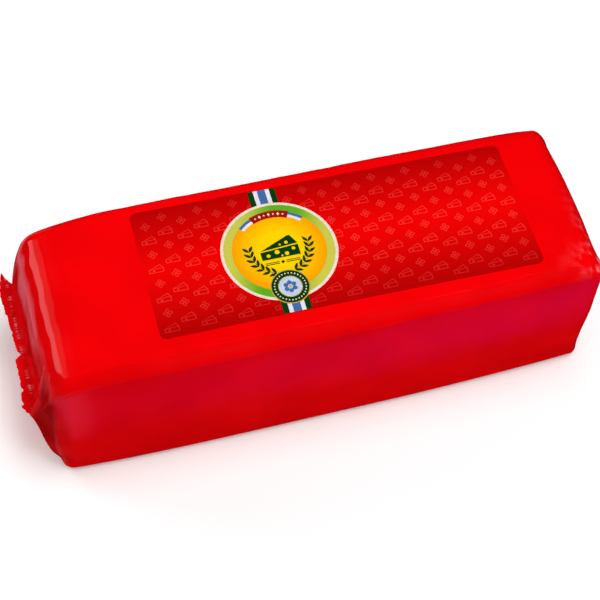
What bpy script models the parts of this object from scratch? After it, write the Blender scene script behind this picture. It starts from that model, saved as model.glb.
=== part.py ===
# A rectangular loaf of Edam cheese, shrink-wrapped in red film.
# The film bulges into a roof-shaped pillow at the left end, where a torn heat seal stands out
# as a fin at mid height. A thin printed label lies on the top face.
# Metres, +Z up, the loaf's length along X, its front at -Y. The origin is on the table, under
# the middle of the whole.

import math
import random

import bmesh
import bpy
from mathutils import Matrix, Vector

# The block of cheese with its film, without crowns
BLOCK_LENGTH = 0.300
BLOCK_WIDTH = 0.101
BLOCK_HEIGHT = 0.0945
TOP_RADIUS = 0.0071
BOTTOM_RADIUS = 0.0050

# How far each face swells past the plain block at its middle
TOP_CROWN = 0.0010
FRONT_CROWN = 0.0027
BACK_CROWN = 0.0014
SIDE_BELLY = 0.0021
RIGHT_CROWN = 0.0045
RIGHT_CROWN_FADE = 0.6

# How far the top sinks towards each end, and how sharply
LEFT_DROOP = 0.0120
RIGHT_DROOP = 0.0050
DROOP_POWER = 16
CROWN_POWER = 4

# The film pillow at the left end: a hipped roof lying on its side, ridge along Y
PILLOW_REACH = 0.0100
PILLOW_ZONE = 0.1
RIDGE_FRONT = -0.036
RIDGE_BACK = 0.036
UPPER_SWELL = 0.85
LOWER_SWELL = 0.9
HIP_SWELL = 0.9

# The web of film that runs from the fin's front end down to the bottom corner
WEB_REACH = 0.0036
WEB_START = 0.45
WEB_SHARE = 0.25
WEB_FADE = 0.3

# The torn heat seal: its edge as (place along Y, reach past the ridge), front to back
FIN_EDGE = (
    (-0.0365, 0.0030),
    (-0.0320, 0.0074),
    (-0.0245, 0.0054),
    (-0.0150, 0.0043),
    (-0.0005, 0.0045),
    (0.0013, 0.0024),
    (0.0145, 0.0033),
    (0.0255, 0.0038),
    (0.0270, 0.0042),
    (0.0410, 0.0042),
    (0.0480, 0.0034),
    (0.0540, 0.0014),
)
FIN_THICKNESS = 0.0012
FIN_ROOT = 0.0060
FIN_WAVE = 0.0006
FIN_WAVE_LENGTH = 0.024
EAR_START = 0.0430
EAR_WIDTH = 0.0006
TEAR_DEPTH = 0.0005
TEAR_SEED = 11

# The label on the top face
LABEL_LENGTH = 0.210
LABEL_WIDTH = 0.0818
LABEL_THICKNESS = 0.0003
LABEL_GAP = 0.0003
LABEL_SHIFT = Vector((0.0141, 0.0018))
LABEL_TURN = math.radians(-0.8)

# Mesh fineness
BLOCK_ROWS = 22
EDGE_ROWS = 4
FIN_ROWS = 56
FIN_COLUMNS = 3
LABEL_COLUMNS = 24
LABEL_ROWS = 8

# Worked out from the sizes above
HALF = Vector((BLOCK_LENGTH, BLOCK_WIDTH, BLOCK_HEIGHT)) / 2
LEFT_END = HALF.x + PILLOW_REACH + max(reach for place, reach in FIN_EDGE)
RIGHT_END = HALF.x + RIGHT_CROWN
BLOCK_PLACE = Vector(((LEFT_END - RIGHT_END) / 2, (FRONT_CROWN - BACK_CROWN) / 2, HALF.z))


def clamp(value, low=0.0, high=1.0):
    return max(low, min(high, value))


def make_material(name, colour, roughness):
    material = bpy.data.materials.new(name)
    material.use_nodes = True
    shader = material.node_tree.nodes["Principled BSDF"]
    shader.inputs["Base Color"].default_value = (*colour, 1)
    shader.inputs["Roughness"].default_value = roughness
    shader.inputs["Metallic"].default_value = 0
    return material


def rounded_block(cube_point):
    """A point of the cube from -1 to 1, moved to the block with round edges and corners."""
    edge_share = EDGE_ROWS / (BLOCK_ROWS / 2)
    depth = clamp(-cube_point.z)
    radius = TOP_RADIUS + (BOTTOM_RADIUS - TOP_RADIUS) * depth
    core = Vector()
    way = Vector()
    for axis in range(3):
        distance = abs(cube_point[axis])
        flat = clamp(distance / (1 - edge_share))
        turn = clamp((distance - 1 + edge_share) / edge_share) * math.pi / 4
        core[axis] = math.copysign(flat * (HALF[axis] - radius), cube_point[axis])
        way[axis] = math.copysign(math.tan(turn), cube_point[axis])
    return core + radius * way.normalized()


def pillow_reach(across, up):
    """How far the film pillow stands out at a place of the left end."""
    roof = clamp(1 - abs(up)) ** (UPPER_SWELL if up > 0 else LOWER_SWELL)
    ridge_end = (RIDGE_BACK if across > 0 else -RIDGE_FRONT) / HALF.y
    hip = clamp((1 - abs(across)) / (1 - ridge_end)) ** HIP_SWELL
    web = WEB_REACH * clamp((-across - WEB_START) / WEB_SHARE) * (1 - clamp(up / WEB_FADE))
    return (PILLOW_REACH + web) * min(roof, hip)


def top_change(along, across):
    """How far the top face stands above or below the plain block."""
    droop = LEFT_DROOP if along < 0 else RIGHT_DROOP
    crown = TOP_CROWN * (1 - along ** 2) * (1 - across ** 2)
    return crown - droop * abs(along) ** DROOP_POWER


def shape_block(cube_point):
    """A point of the cube, moved to the swollen, film-wrapped loaf about its own middle."""
    point = rounded_block(cube_point)
    along, across, up = (point[axis] / HALF[axis] for axis in range(3))
    if along > 0:
        point.x += RIGHT_CROWN * along * (1 - across ** 2) * (1 - RIGHT_CROWN_FADE * up ** 2)
    else:
        zone = clamp((-along - 1 + PILLOW_ZONE) / PILLOW_ZONE)
        point.x -= pillow_reach(across, up) * zone
    crown = BACK_CROWN if across > 0 else FRONT_CROWN
    point.y += crown * (1 - along ** CROWN_POWER) * across + SIDE_BELLY * (1 - up ** 2) * across
    if up > 0:
        point.z += top_change(along, across) * up
    return point


def make_block():
    shape = bmesh.new()
    bmesh.ops.create_cube(shape, size=2)
    bmesh.ops.subdivide_edges(shape, edges=shape.edges[:], cuts=BLOCK_ROWS - 1, use_grid_fill=True)
    for vertex in shape.verts:
        vertex.co = shape_block(vertex.co) + BLOCK_PLACE
    return finish_mesh(shape, "wrapped_loaf")


def fin_edge_reach(place):
    """How far the torn edge reaches past the ridge at a place along Y."""
    for (start, first), (end, last) in zip(FIN_EDGE, FIN_EDGE[1:]):
        if place <= end:
            share = clamp((place - start) / (end - start))
            return first + (last - first) * share
    return FIN_EDGE[-1][1]


def make_fin():
    """The heat seal: a thin waved sheet along the pillow's ridge, its back end a pointed ear."""
    draw = random.Random(TEAR_SEED)
    front, back = FIN_EDGE[0][0], FIN_EDGE[-1][0]
    torn_off = [draw.uniform(0, TEAR_DEPTH) for row in range(FIN_ROWS + 1)]
    ridge = -HALF.x - PILLOW_REACH
    shape = bmesh.new()
    bmesh.ops.create_grid(shape, x_segments=FIN_COLUMNS, y_segments=FIN_ROWS, size=1)
    for vertex in shape.verts:
        row = round((vertex.co.y + 1) / 2 * FIN_ROWS)
        place = front + (back - front) * row / FIN_ROWS
        ear = clamp((place - EAR_START) / (back - EAR_START))
        outer = ridge - fin_edge_reach(place) + torn_off[row]
        inner = (ridge + FIN_ROOT) * (1 - ear) + (outer + EAR_WIDTH) * ear
        share = (vertex.co.x + 1) / 2
        wave = FIN_WAVE * (1 - share) * math.sin(2 * math.pi * place / FIN_WAVE_LENGTH)
        vertex.co = Vector((outer + (inner - outer) * share, place, wave)) + BLOCK_PLACE
    fin = finish_mesh(shape, "fin")
    sheet = fin.modifiers.new("film", "SOLIDIFY")
    sheet.thickness = FIN_THICKNESS
    sheet.offset = 0
    return fin


def join_fin(block, fin):
    """Fuse the fin to the block by a Boolean union, then drop the fin."""
    union = block.modifiers.new("seal", "BOOLEAN")
    union.operation = "UNION"
    union.object = fin
    depsgraph = bpy.context.evaluated_depsgraph_get()
    fused = bpy.data.meshes.new_from_object(block.evaluated_get(depsgraph))
    block.modifiers.remove(union)
    block.data = fused
    bpy.data.objects.remove(fin)
    return block


def make_label():
    """A thin sheet that follows the top face, slightly turned on it."""
    turn = Matrix.Rotation(LABEL_TURN, 2)
    lowest = HALF.z + LABEL_GAP
    shape = bmesh.new()
    bmesh.ops.create_grid(shape, x_segments=LABEL_COLUMNS, y_segments=LABEL_ROWS, size=1)
    for vertex in shape.verts:
        flat = Vector((vertex.co.x * LABEL_LENGTH / 2, vertex.co.y * LABEL_WIDTH / 2))
        place = turn @ flat + LABEL_SHIFT
        height = lowest + top_change(place.x / HALF.x, place.y / HALF.y)
        vertex.co = Vector((place.x, place.y, height)) + BLOCK_PLACE
    label = finish_mesh(shape, "label")
    sheet = label.modifiers.new("paper", "SOLIDIFY")
    sheet.thickness = LABEL_THICKNESS
    sheet.offset = 1
    return label


def finish_mesh(shape, name):
    """Turn a bmesh into an object with outward faces and smooth shading."""
    bmesh.ops.recalc_face_normals(shape, faces=shape.faces[:])
    mesh = bpy.data.meshes.new(name)
    shape.to_mesh(mesh)
    shape.free()
    thing = bpy.data.objects.new(name, mesh)
    edam.objects.link(thing)
    return thing


for old in list(bpy.data.objects):
    bpy.data.objects.remove(old)

edam = bpy.data.collections.new("edam_loaf")
bpy.context.scene.collection.children.link(edam)

film_red = make_material("red film", (0.80, 0.004, 0.006), 0.32)
label_red = make_material("printed label", (0.62, 0.006, 0.008), 0.40)

loaf = join_fin(make_block(), make_fin())
label = make_label()

for thing, material in ((loaf, film_red), (label, label_red)):
    thing.data.materials.clear()
    thing.data.materials.append(material)
    thing.data.shade_smooth()
    thing.data.set_sharp_from_angle(angle=math.radians(40))
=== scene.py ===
# A loaf of Edam cheese, shrink-wrapped in red film, with a printed label on its top face.
# Metres, +Z up, the loaf's length along X, its front at -Y. Sizes named "Mm" are in millimetres.

import math
import random

import bmesh
import bpy
import numpy as np
from mathutils import Matrix, Vector


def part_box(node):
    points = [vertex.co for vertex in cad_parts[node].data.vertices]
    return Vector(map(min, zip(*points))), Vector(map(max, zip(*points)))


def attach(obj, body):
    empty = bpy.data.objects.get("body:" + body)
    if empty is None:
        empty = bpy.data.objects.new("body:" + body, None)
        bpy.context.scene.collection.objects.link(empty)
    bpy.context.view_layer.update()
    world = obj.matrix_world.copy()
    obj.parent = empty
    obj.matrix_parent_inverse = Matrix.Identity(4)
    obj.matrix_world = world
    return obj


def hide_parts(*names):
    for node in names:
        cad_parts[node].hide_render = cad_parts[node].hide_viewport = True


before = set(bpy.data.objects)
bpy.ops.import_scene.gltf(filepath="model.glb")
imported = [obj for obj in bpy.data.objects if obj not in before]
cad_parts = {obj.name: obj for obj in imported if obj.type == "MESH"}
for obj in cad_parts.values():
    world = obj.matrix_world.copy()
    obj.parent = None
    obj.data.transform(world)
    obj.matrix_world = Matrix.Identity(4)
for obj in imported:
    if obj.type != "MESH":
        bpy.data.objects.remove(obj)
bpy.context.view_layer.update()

scene = bpy.context.scene
scene.view_settings.view_transform = "Standard"  # keeps the saturated reds

mm = 0.001
body = "root"


# Small helpers

def colour(red, green, blue):
    # screen colour, 0 to 255, to the linear values that shaders use
    def one(value):
        share = value / 255
        return share / 12.92 if share <= 0.04045 else ((share + 0.055) / 1.055) ** 2.4
    return (one(red), one(green), one(blue), 1.0)


def clip(value, low=0.0, high=1.0):
    return np.clip(value, low, high)


def ease(value):
    share = clip(value)
    return share * share * (3 - 2 * share)


def bump(value, middle, spread):
    return np.exp(-((value - middle) / spread) ** 2)


def softNoise(points, size, seed, count=12):
    # a smooth wandering value of about -2 to 2, from waves in seeded directions
    draw = np.random.default_rng(seed)
    total = np.zeros(len(points))
    for wave in range(count):
        way = draw.normal(size=3)
        way *= 2 * math.pi / (size * draw.uniform(0.7, 1.4) * np.linalg.norm(way))
        total += np.sin(points @ way + draw.uniform(0, 2 * math.pi))
    return total / math.sqrt(count / 2)


def lineDistance(points, *path):
    # how far each point is from a bent line through the places of the path
    nearest = np.full(len(points), np.inf)
    for start, end in zip(path, path[1:]):
        start, end = np.array(start, float), np.array(end, float)
        way = end - start
        share = clip((points - start) @ way / (way @ way))
        away = np.linalg.norm(points - start - share[:, None] * way, axis=1)
        nearest = np.minimum(nearest, away)
    return nearest


def link(mesh, name):
    thing = bpy.data.objects.new(name, mesh)
    scene.collection.objects.link(thing)
    return thing


def fillMesh(shape, mesh):
    # moves a bmesh into a mesh, its faces outward
    bmesh.ops.recalc_face_normals(shape, faces=shape.faces[:])
    shape.to_mesh(mesh)
    shape.free()
    return mesh


def meshFromPoints(name, points, faces, materialIds=None):
    mesh = bpy.data.meshes.new(name)
    mesh.from_pydata(np.asarray(points, float).tolist(), [], faces)
    if materialIds is not None:
        mesh.polygons.foreach_set("material_index", materialIds)
    shape = bmesh.new()
    shape.from_mesh(mesh)
    return fillMesh(shape, mesh)


def keepValues(mesh, name, values):
    # one number for each point, for the materials to read
    kept = mesh.attributes.new(name, "FLOAT", "POINT")
    kept.data.foreach_set("value", clip(values).astype(np.float32))


def finishPiece(thing, materials, node, sharpDegrees=35):
    for material in materials:
        if material.name not in thing.data.materials:
            thing.data.materials.append(material)
    thing.data.shade_smooth()
    thing.data.set_sharp_from_angle(angle=math.radians(sharpDegrees))
    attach(thing, body)
    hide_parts(node)
    return thing


# Node helpers

def plug(tree, socket, value):
    # links an output to a socket, or gives the socket a constant
    if isinstance(value, bpy.types.NodeSocket):
        tree.links.new(value, socket)
    else:
        socket.default_value = value


def addNode(tree, kind, inputs=None, **settings):
    node = tree.nodes.new(kind)
    for name, value in settings.items():
        setattr(node, name, value)
    for name, value in (inputs or {}).items():
        plug(tree, node.inputs[name], value)
    return node


def mathNode(tree, operation, *values, clamp=False):
    inputs = dict(enumerate(values))
    return addNode(tree, "ShaderNodeMath", inputs, operation=operation, use_clamp=clamp).outputs[0]


def vectorNode(tree, operation, *values):
    return addNode(tree, "ShaderNodeVectorMath", dict(enumerate(values)), operation=operation).outputs[0]


def splitNode(tree, vector):
    return addNode(tree, "ShaderNodeSeparateXYZ", {0: vector}).outputs


def ownPlace(tree):
    return addNode(tree, "ShaderNodeTexCoord").outputs["Object"]


def keptValue(tree, name):
    return addNode(tree, "ShaderNodeAttribute", attribute_name=name).outputs["Fac"]


def noiseNode(tree, scale, detail, roughness=0.5, distortion=0.0):
    return addNode(tree, "ShaderNodeTexNoise", {
        "Vector": ownPlace(tree), "Scale": scale, "Detail": detail,
        "Roughness": roughness, "Distortion": distortion,
    }).outputs["Fac"]


def mapRange(tree, value, fromLow, fromHigh, toLow=0.0, toHigh=1.0, smooth=False):
    return addNode(tree, "ShaderNodeMapRange", {
        "Value": value, "From Min": fromLow, "From Max": fromHigh, "To Min": toLow, "To Max": toHigh,
    }, clamp=True, interpolation_type="SMOOTHSTEP" if smooth else "LINEAR").outputs["Result"]


def mixColour(tree, share, first, second):
    node = addNode(tree, "ShaderNodeMix", data_type="RGBA")
    sockets = {socket.identifier: socket for socket in node.inputs}
    for name, value in (("Factor_Float", share), ("A_Color", first), ("B_Color", second)):
        plug(tree, sockets[name], value)
    return next(socket for socket in node.outputs if socket.identifier == "Result_Color")


def colourStops(tree, share, stops):
    node = addNode(tree, "ShaderNodeValToRGB", {"Fac": share})
    ramp = node.color_ramp
    ramp.interpolation = "EASE" if len(stops) == 2 else "LINEAR"
    while len(ramp.elements) < len(stops):
        ramp.elements.new(0.5)
    for element, (place, value) in zip(ramp.elements, stops):
        element.position = place
        element.color = value
    return node.outputs["Color"]


def makeGroup(family, name, inputs, outputs):
    # a node group with named sockets, each a label, a kind and, where it matters, a value
    group = bpy.data.node_groups.new(name, family + "NodeTree")
    for way, sockets in (("INPUT", inputs), ("OUTPUT", outputs)):
        for label, kind, *value in sockets:
            socket = group.interface.new_socket(label, in_out=way, socket_type="NodeSocket" + kind)
            if value:
                socket.default_value = value[0]
    given, result = group.nodes.new("NodeGroupInput"), group.nodes.new("NodeGroupOutput")
    return group, given.outputs, result.inputs


# Shader groups that several materials share

def makeFilmGroup():
    # drawn film: broad blotches, fine grain, and the ripple they give the surface
    group, given, result = makeGroup("Shader", "stretchedFilm", [
        ("Blotch Size", "Float", 0.030),
        ("Grain Size", "Float", 0.0016),
        ("Ripple", "Float", 0.00004),
    ], [("Blotch", "Float"), ("Grain", "Float"), ("Normal", "Vector")])
    blotchScale = mathNode(group, "DIVIDE", 1.0, given["Blotch Size"])
    grainScale = mathNode(group, "DIVIDE", 1.0, given["Grain Size"])
    blotch = noiseNode(group, blotchScale, 1.5, 0.4)
    grain = noiseNode(group, grainScale, 2.0)
    ripple = noiseNode(group, mathNode(group, "MULTIPLY", blotchScale, 4.0), 1.0, distortion=0.3)
    height = mathNode(group, "MULTIPLY_ADD", grain, 0.08, ripple)
    raised = mathNode(group, "MULTIPLY", height, given["Ripple"])
    normal = addNode(group, "ShaderNodeBump", {"Height": raised, "Strength": 1.0, "Distance": 1.0})
    plug(group, result["Blotch"], mapRange(group, blotch, 0.2, 0.8, smooth=True))
    plug(group, result["Grain"], grain)
    plug(group, result["Normal"], normal.outputs["Normal"])
    return group


def makeStressGroup():
    # where film is creased or scuffed, it whitens in fine broken specks
    group, given, result = makeGroup("Shader", "stressMarks", [
        ("Stress", "Float", 0.0),
        ("Speck Size", "Float", 0.0014),
        ("Cut", "Float", 0.5),
    ], [("Mask", "Float")])
    specks = noiseNode(group, mathNode(group, "DIVIDE", 1.0, given["Speck Size"]), 3.0, 0.6)
    raised = mathNode(group, "MULTIPLY_ADD", given["Stress"], 0.45, specks)
    over = mathNode(group, "SUBTRACT", raised, given["Cut"])
    broken = mapRange(group, over, 0.1, 0.4, smooth=True)
    share = mathNode(group, "MULTIPLY_ADD", broken, 0.82, 0.18)
    plug(group, result["Mask"], mathNode(group, "MULTIPLY", share, given["Stress"], clamp=True))
    return group


filmGroup = makeFilmGroup()
stressGroup = makeStressGroup()

filmFinish = {
    "deepRed": (0.830, 0.0004, 0.0016, 1),
    "brightRed": (0.930, 0.0004, 0.0020, 1),
    # darker red for doubled film, and painted shade on the left end's hollow facet, along the weld and
    # beside the tucks
    "shadeAndDoubledFilm": (0.500, 0.0003, 0.0012, 1),
    "stressed": (0.980, 0.190, 0.225, 1),
    "smooth": 0.05,
    "dull": 0.09,
    "stressDull": 0.25,
    "specular": 0.25,
    # less gloss on the same doubled and painted-shade places
    "shadeAndDoubledFilmSpecular": 0.07,
    "speckSize": 0.0011,
    "cut": 0.54,
    "surface": (0.030, 0.00004),  # size of the blotches, height of the ripple
}


def startMaterial(name, surface):
    material = bpy.data.materials.new(name)
    material.use_nodes = True
    tree = material.node_tree
    shader = tree.nodes["Principled BSDF"]
    shader.inputs["Metallic"].default_value = 0.0
    shader.inputs["Specular IOR Level"].default_value = filmFinish["specular"]
    film = addNode(tree, "ShaderNodeGroup", node_tree=filmGroup)
    film.inputs["Blotch Size"].default_value, film.inputs["Ripple"].default_value = surface
    plug(tree, shader.inputs["Normal"], film.outputs["Normal"])
    return material, tree, shader.inputs, film.outputs


def makeFilmMaterial(name, finish):
    material, tree, shader, film = startMaterial(name, finish["surface"])
    shadeAndDoubledFilm = keptValue(tree, "shadeAndDoubledFilm")
    mask = addNode(tree, "ShaderNodeGroup", {
        "Stress": keptValue(tree, "stress"), "Speck Size": finish["speckSize"], "Cut": finish["cut"],
    }, node_tree=stressGroup).outputs["Mask"]
    red = mixColour(tree, film["Blotch"], finish["deepRed"], finish["brightRed"])
    # darkens the red where the film is doubled, and as painted shade in hollows
    red = mixColour(tree, shadeAndDoubledFilm, red, finish["shadeAndDoubledFilm"])
    dull = mapRange(tree, film["Blotch"], 0.0, 1.0, finish["smooth"], finish["dull"])
    rough = mathNode(tree, "MULTIPLY_ADD", mask, finish["stressDull"], dull, clamp=True)
    gloss = mapRange(tree, shadeAndDoubledFilm, 0.0, 1.0, finish["specular"], finish["shadeAndDoubledFilmSpecular"])
    plug(tree, shader["Base Color"], mixColour(tree, mask, red, finish["stressed"]))
    plug(tree, shader["Roughness"], rough)
    plug(tree, shader["Specular IOR Level"], gloss)
    return material


filmRed = makeFilmMaterial("film red", filmFinish)
print("stage: groups and film material made")


# The loaf in its film. The shape follows the CAD solid: a round-edged block, swollen a little on
# every side, with a roof-shaped pillow of film at the left end.

loafShape = {
    "length": 0.300,
    "width": 0.101,
    "height": 0.0945,
    "topRadius": 0.0071,
    "bottomRadius": 0.0050,
    "topCrown": 0.0010,
    "frontCrown": 0.0027,
    "backCrown": 0.0014,
    "sideBelly": 0.0021,
    "rightCrown": 0.0045,
    "rightCrownFade": 0.6,
    "leftDroop": 0.0120,
    "rightDroop": 0.0050,
    "droopPower": 16,
    "crownPower": 4,
    "pillowReach": 0.0100,
    "pillowZone": 0.1,
    "ridgeFront": -0.036,
    "ridgeBack": 0.036,
    "upperSwell": 0.85,
    "lowerSwell": 0.9,
    "hipSwell": 0.9,
    "webReach": 0.0036,
    "webStart": 0.45,
    "webShare": 0.25,
    "webFade": 0.3,
    "meshRows": 124,
    "edgeShare": 0.15,
    "rowCrowding": 0.55,
}

loafLow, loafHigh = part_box("wrapped_loaf")
half = np.array([loafShape["length"], loafShape["width"], loafShape["height"]]) / 2
blockPlace = np.array([
    loafHigh.x - loafShape["rightCrown"] - half[0],
    (loafShape["frontCrown"] - loafShape["backCrown"]) / 2,
    half[2],
])


def topChange(along, across):
    # how far the top face stands above or below the plain block
    s = loafShape
    droop = np.where(along < 0, s["leftDroop"], s["rightDroop"])
    crown = s["topCrown"] * (1 - along ** 2) * (1 - across ** 2)
    return crown - droop * np.abs(along) ** s["droopPower"]


def filmTop(x, y):
    # height of the film's top face at a place in the row frame
    along = (x - blockPlace[0]) / half[0]
    across = (y - blockPlace[1]) / half[1]
    return blockPlace[2] + half[2] + topChange(along, across)


def roundedBlock(cube):
    s = loafShape
    edge = s["edgeShare"]
    radius = (s["topRadius"] + (s["bottomRadius"] - s["topRadius"]) * clip(-cube[:, 2]))[:, None]
    distance = np.abs(cube)
    flat = clip(distance / (1 - edge))
    crowd = s["rowCrowding"]  # rows along X stand closer together towards both ends
    flat[:, 0] = (1 - crowd) * flat[:, 0] + crowd * np.sin(flat[:, 0] * math.pi / 2)
    turn = clip((distance - 1 + edge) / edge) * math.pi / 4
    core = np.copysign(flat * (half - radius), cube)
    way = np.copysign(np.tan(turn), cube)
    way /= np.linalg.norm(way, axis=1)[:, None]
    return core + radius * way


def pillowReach(across, up):
    # how far the film pillow stands out at a place of the left end
    s = loafShape
    swell = np.where(up > 0, s["upperSwell"], s["lowerSwell"])
    roof = clip(1 - np.abs(up)) ** swell
    ridgeEnd = np.where(across > 0, s["ridgeBack"], -s["ridgeFront"]) / half[1]
    hip = clip((1 - np.abs(across)) / (1 - ridgeEnd)) ** s["hipSwell"]
    web = s["webReach"] * clip((-across - s["webStart"]) / s["webShare"])
    web *= 1 - clip(up / s["webFade"])
    return (s["pillowReach"] + web) * np.minimum(roof, hip)


def shapeLoaf(cube):
    s = loafShape
    point = roundedBlock(cube)
    along, across, up = (point / half).T
    right = s["rightCrown"] * along * (1 - across ** 2) * (1 - s["rightCrownFade"] * up ** 2)
    zone = clip((-along - 1 + s["pillowZone"]) / s["pillowZone"])
    left = -pillowReach(across, up) * zone
    point[:, 0] += np.where(along > 0, right, left)
    crown = np.where(across > 0, s["backCrown"], s["frontCrown"])
    point[:, 1] += crown * (1 - along ** s["crownPower"]) * across
    point[:, 1] += s["sideBelly"] * (1 - up ** 2) * across
    point[:, 2] += np.where(up > 0, topChange(along, across) * up, 0)
    return point


# Relief on the film. All of its places and sizes are in millimetres from the block's own middle,
# and each function gives the height, the whitening, and how far the red is darkened: for doubled film, and
# as painted shade in hollows.

filmRelief = {
    "broadMm": 0.13,
    "broadSizeMm": 46,
    "smallMm": 0.035,
    "smallSizeMm": 13,
    "rollMm": 0.6,
    "browRollMm": 0.45,
    "lowRollMm": 0.6,
    "cutMm": 1.9,
    "cutPlace": (-151.5, -49, -36),
    "puckerMm": 0.16,
    "puckerGapMm": 4.3,
    "facetMm": 1.3,
    "cornerDimples": 26,
    "dimpleMm": 0.16,
    "frontDents": 20,
    "dentMm": 0.20,
    "endFoldMm": 0.7,
    "squareMm": 1.4,
    "lowCornerMm": 1.6,
    "shoulderMm": 1.2,
    "backEdgeMm": 0.6,
    "frontEdgeMm": 0.8,
    "seamMm": 0.25,
    "seamWidthMm": 12,
}

# creases of the left end: a path, the ridge's height and width, the whitening and its width
leftCreases = {
    "hip": (((-151.7, -30.5, 30.6), (-160, -34.9, 5.4), (-163, -37, 0)), 0.38, 1.2, 0.2, 0.7),
    "brow": (((-149.6, -36.4, 34.4), (-149.9, -41.5, 31.5)), 0.3, 1.2, 0.6, 0.8),
    "lowHip": (((-163, -37, -1), (-151, -45, -40)), 0.19, 1.4, 0.15, 1.0),
    "upright": (((-150.5, -47.5, 28), (-152.8, -48.8, -16), (-150.5, -49.5, -42)), 0.4, 1.5, 0.4, 1.0),
}

labelSize = {
    "lengthMm": 210,
    "widthMm": 81.8,
    "cornerMm": 4.0,
    "edgeMm": 1.2,
    "middle": (0.0141, 0.0018),
    "turnDegrees": -0.8,
}


def leftEndRelief(p, normals):
    # rolls, a pinched weld line, puckers and creases of the film pillow
    r = filmRelief
    x, y, z = p.T
    end = ease((-142 - x) / 6)
    inside = ease((42 - np.abs(y)) / 10)
    wander = 1.2 * np.sin(y / 17) + 0.7 * np.sin(y / 6.1 + 1)
    rolls = r["rollMm"] * bump(z, 20 + wander, 8) + r["browRollMm"] * bump(z, 33 + wander, 6)
    rolls += r["lowRollMm"] * (bump(z, -32, 8) - bump(z, -12, 8))
    phase = 2 * math.pi * y / r["puckerGapMm"] + 1.6 * np.sin(y / 5.3) + 0.9 * np.sin(y / 2.7 + 2)
    puckers = r["puckerMm"] * (0.6 + 0.4 * np.sin(y / 7.9 + 1)) * np.sin(phase)
    relief = end * inside * (rolls + puckers * np.exp(-np.abs(z) / 9))
    weld = bump(z, 0, 1.6) * end * inside
    stress = 0.8 * weld * clip(np.sin(phase)) * clip(0.4 + np.sin(y / 3.3))
    away = {}
    for name, (path, height, width, white, whiteWidth) in leftCreases.items():
        away[name] = lineDistance(p, *path)
        relief += height * bump(away[name], 0, width)
        stress += white * bump(away[name], 0, whiteWidth)
    stress += 0.5 * ease((z - 12) / 14) * bump(away["hip"], 0, 0.7)
    stress += 0.16 * bump(away["upright"], 0, 7) * (y < -44) * (0.6 + 0.4 * np.sin(z / 5))
    relief -= r["facetMm"] * bump(y, -41.5, 4.0) * bump(z, 4, 18) * end
    relief -= r["cutMm"] * bump(np.linalg.norm(p - np.array(r["cutPlace"]), axis=1), 0, 7)
    # painted shade: the red darkened on the facet beside the hip, which lies in shade, and along the weld
    # line
    besideHip = ease((np.interp(z, (0, 30), (-38, -32)) - y) / 3)
    shadeAndDoubledFilm = besideHip * ease((y + 50.3) / 2) * ease((33 - z) / 12) * ease((-148 - x) / 3)
    shadeAndDoubledFilm *= 0.4 + 0.6 * ease((z + 24) / 16)
    shadeAndDoubledFilm += 0.3 * np.exp(-np.abs(z) / 5) * end
    return relief, stress, shadeAndDoubledFilm


def cornerMarks(p, normals):
    # dimples and scuffs where the top meets the right end, and shallow dents in the front
    r = filmRelief
    x, y, z = p.T
    draw = random.Random(5)
    relief = np.zeros(len(p))
    for dimple in range(r["cornerDimples"]):
        reach = draw.random()
        middleX, middleY = 147 - 44 * reach ** 2, -48 + 62 * draw.random() ** 1.6
        spread = draw.uniform(1.3, 3.4)
        depth = r["dimpleMm"] * draw.uniform(0.4, 1)
        relief -= depth * bump(x, middleX, spread) * bump(y, middleY, spread) * (z > 30)
    for dent in range(r["frontDents"]):
        middleX, middleZ = -130 + 272 * draw.random() ** 0.6, draw.uniform(-38, 34)
        spread = draw.uniform(3.5, 8)
        depth = r["dentMm"] * draw.uniform(-0.6, 1)
        relief -= depth * bump(x, middleX, spread) * bump(z, middleZ, spread) * (y < -40)
    rightEdge = bump(x, 148, 5) * ease((z - 34) / 8) * ease((20 - y) / 50)
    frontCorner = bump(x, 145, 14) * bump(y, -44, 10) * ease((z - 36) / 8)
    patches = clip(0.2 + 0.4 * softNoise(p, 5, 31) + 0.4 * softNoise(p, 14, 32))
    relief += 0.06 * np.sin(x * 0.9 + 0.35 * y + 1.3 * np.sin(y / 3)) * frontCorner
    return relief, (0.5 * rightEdge + 0.75 * frontCorner) * patches, 0


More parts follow.
